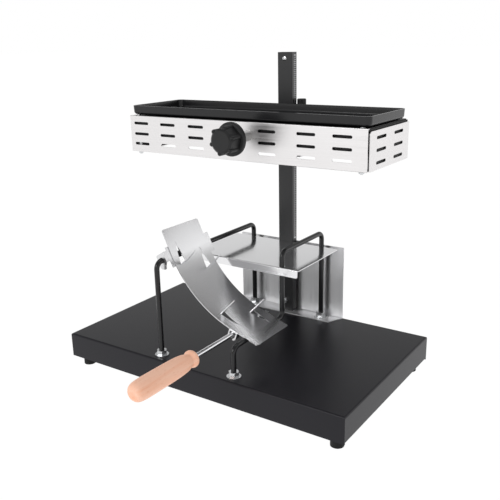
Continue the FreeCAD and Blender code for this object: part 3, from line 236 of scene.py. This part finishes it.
M["chrome_bright"] = plated("chrome_bright", (0.78, 0.78, 0.80), 0.10)
M["beech"] = beech()
M["brushed"] = brushed("brushed", (0.815, 0.80, 0.80), 0.34, (7.0, 7.0, 900.0), var=0.03, bump=0.04)
M["hood_black"] = coated("hood_black", (0.006, 0.006, 0.0065), 0.5, 0.25)
M["reflector_bright"] = brushed("reflector_bright", (0.7, 0.69, 0.68), 0.22, (8.0, 500.0, 500.0))
M["element_tube"] = coated("element_tube", (0.13, 0.115, 0.105), 0.5, 0.4, grain=2400.0)
M["white_ceramic"] = plastic("white_ceramic", (0.78, 0.76, 0.71), 0.55, 0.4)
M["carriage_alu"] = coated("carriage_alu", (0.03, 0.03, 0.032), 0.4, 0.4)
M["sleeve_steel"] = brushed("sleeve_steel", (0.36, 0.36, 0.355), 0.34, (700.0, 30.0, 700.0))
M["knob_black"] = plastic("knob_black", (0.010, 0.010, 0.0105), 0.40, 0.34, grain=1100.0)
M["pinion_brass"] = brushed("pinion_brass", (0.72, 0.52, 0.22), 0.3, (500.0, 60.0, 500.0))
M["tray_grey"] = coated("tray_grey", (0.010, 0.010, 0.011), 0.24, 0.38, grain=2200.0, bump=0.04)

SLOT_OF = dict(SLOT, back_plate="plate_steel", shelf="shelf_steel")
for node, obj in NODES.items():
    mat = M[SLOT_OF[node]]
    obj.data.materials.clear()
    obj.data.materials.append(mat)


# ------------------------------------------------------------------ pieces
def add_mesh(name, verts, faces, body, slot, smooth=True):
    me = bpy.data.meshes.new(name)
    me.from_pydata(verts, [], faces)
    me.validate()
    ob = bpy.data.objects.new(name, me)
    scene.collection.objects.link(ob)
    bm = bmesh.new()
    bm.from_mesh(me)
    bmesh.ops.recalc_face_normals(bm, faces=bm.faces)
    bm.to_mesh(me)
    bm.free()
    for p in me.polygons:
        p.use_smooth = smooth
    ob.data.materials.append(M[slot])
    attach(ob, body)
    return ob


def turned(name, profile, origin, axis, body, slot, seg=96):
    """Surface of revolution; profile is (radius, distance along axis) in metres."""
    a = Vector(axis).normalized()
    u = a.orthogonal().normalized()
    w = a.cross(u)
    o = Vector(origin)
    verts, faces = [], []
    n = len(profile)
    for r, t in profile:
        for k in range(seg):
            an = 2 * math.pi * k / seg
            verts.append(o + a * t + (u * math.cos(an) + w * math.sin(an)) * r)
    for i in range(n - 1):
        for k in range(seg):
            k2 = (k + 1) % seg
            faces.append((i * seg + k, i * seg + k2, (i + 1) * seg + k2, (i + 1) * seg + k))
    faces.append(tuple(range(seg)))
    faces.append(tuple((n - 1) * seg + k for k in range(seg)))
    return add_mesh(name, verts, faces, body, slot)


def smooth_profile(pts, sub=6):
    """Catmull-Rom through the profile points."""
    out = []
    n = len(pts)
    for i in range(n - 1):
        p0 = pts[max(i - 1, 0)]
        p1 = pts[i]
        p2 = pts[i + 1]
        p3 = pts[min(i + 2, n - 1)]
        for k in range(sub):
            t = k / sub
            q = []
            for c in (0, 1):
                q.append(0.5 * (2 * p1[c] + (p2[c] - p0[c]) * t + (2 * p0[c] - 5 * p1[c] + 4 * p2[c] - p3[c]) * t * t
                                + (3 * p1[c] - p0[c] - 3 * p2[c] + p3[c]) * t ** 3))
            out.append(tuple(q))
    out.append(pts[-1])
    return out


# wooden handle: turned beech, collar ring towards the rod
lo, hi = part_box("wooden_handle")
hx, hz = (lo.x + hi.x) / 2, (lo.z + hi.z) / 2
hp = [(0.0039, 0.0), (0.0080, 0.0001), (0.0103, 0.0008), (0.0117, 0.0022), (0.0122, 0.0044), (0.0118, 0.0066), (0.0106, 0.0084),
      (0.0097, 0.0098), (0.0094, 0.0112), (0.0098, 0.0128), (0.0108, 0.0158), (0.0119, 0.0205), (0.0128, 0.0280),
      (0.0134, 0.0400), (0.0137, 0.0550), (0.01385, 0.0720), (0.01398, 0.0880), (0.01390, 0.0990), (0.0135, 0.1065),
      (0.0127, 0.1115), (0.0112, 0.1148), (0.0088, 0.1170), (0.0055, 0.11785), (0.0012, 0.1180)]
handle = turned("handle_grip", smooth_profile(hp), (hx, hi.y, hz), (0, -1, 0), "cradle", "beech", 96)
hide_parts("wooden_handle")

# ------------------------------------------------------------------ floor, light, camera
def stage_plane(name, size, z, mat):
    me = bpy.data.meshes.new(name)
    s = size / 2
    me.from_pydata([(-s, -s, z), (s, -s, z), (s, s, z), (-s, s, z)], [], [(0, 1, 2, 3)])
    ob = bpy.data.objects.new(name, me)
    scene.collection.objects.link(ob)
    ob.data.materials.append(mat)
    return ob


fm = Mat("floor_white", (0.02, 0.02, 0.02), 0.9, 0.0, 0.0)
fm.b.inputs["Emission Color"].default_value = (1, 1, 1, 1)
fm.b.inputs["Emission Strength"].default_value = 1.0
stage_plane("floor", 60.0, -0.0006, fm.m)

world = bpy.data.worlds.new("studio")
scene.world = world
world.use_nodes = True
wn = world.node_tree
wn.nodes.clear()
wo = wn.nodes.new("ShaderNodeOutputWorld")
bg = wn.nodes.new("ShaderNodeBackground")
tc = wn.nodes.new("ShaderNodeTexCoord")
sx = wn.nodes.new("ShaderNodeSeparateXYZ")
cr = wn.nodes.new("ShaderNodeValToRGB")
wn.links.new(tc.outputs["Generated"], sx.inputs[0])
wn.links.new(sx.outputs["Z"], cr.inputs["Fac"])
wn.links.new(cr.outputs["Color"], bg.inputs["Color"])
wn.links.new(bg.outputs["Background"], wo.inputs["Surface"])
bg.inputs["Strength"].default_value = 1.0
e = cr.color_ramp.elements
e[0].position = 0.0
e[0].color = (1.0, 1.0, 1.0, 1.0)
e[1].position = 1.0
e[1].color = (0.40, 0.40, 0.41, 1.0)
for p, v in ((0.13, 1.0), (0.22, 0.88), (0.36, 0.58), (0.6, 0.44)):
    q = e.new(p)
    q.color = (v, v, v, 1.0)


def area(name, loc, target, sx_, sy_, power, color=(1, 1, 1)):
    l = bpy.data.lights.new(name, "AREA")
    l.shape = "RECTANGLE"
    l.size = sx_
    l.size_y = sy_
    l.energy = power
    l.color = color
    ob = bpy.data.objects.new(name, l)
    scene.collection.objects.link(ob)
    ob.location = loc
    d = Vector(target) - Vector(loc)
    ob.rotation_euler = d.to_track_quat("-Z", "Y").to_euler()
    return ob


area("soft_right_back", (1.7, 2.1, 0.75), (0.0, 0.0, 0.15), 1.3, 0.8, 2.2)
area("soft_front", (-0.6, -2.4, 1.5), (0.0, 0.0, 0.2), 1.4, 0.9, 20.0)
area("top_soft", (0.2, 0.1, 2.4), (0.0, 0.0, 0.2), 1.2, 1.2, 6.0)

cam = bpy.data.cameras.new("camera")
cam_ob = bpy.data.objects.new("camera", cam)
scene.collection.objects.link(cam_ob)
yaw, pitch, roll = 0.5996, 0.2975, -0.0206
fwd = Vector((-math.sin(yaw) * math.cos(pitch), math.cos(yaw) * math.cos(pitch), -math.sin(pitch)))
r0 = Vector((math.cos(yaw), math.sin(yaw), 0.0))
u0 = r0.cross(fwd)
right = r0 * math.cos(roll) + u0 * math.sin(roll)
up = u0 * math.cos(roll) - r0 * math.sin(roll)
m = Matrix.Identity(4)
for i in range(3):
    m[i][0], m[i][1], m[i][2] = right[i], up[i], -fwd[i]
m.translation = Vector((0.58652, -0.84149, 0.51305))
cam_ob.matrix_world = m
cam.sensor_width = 36.0
cam.lens = 688.11 * 36.0 / 500.0
cam.clip_start = 0.05
cam.clip_end = 100.0
scene.camera = cam_ob
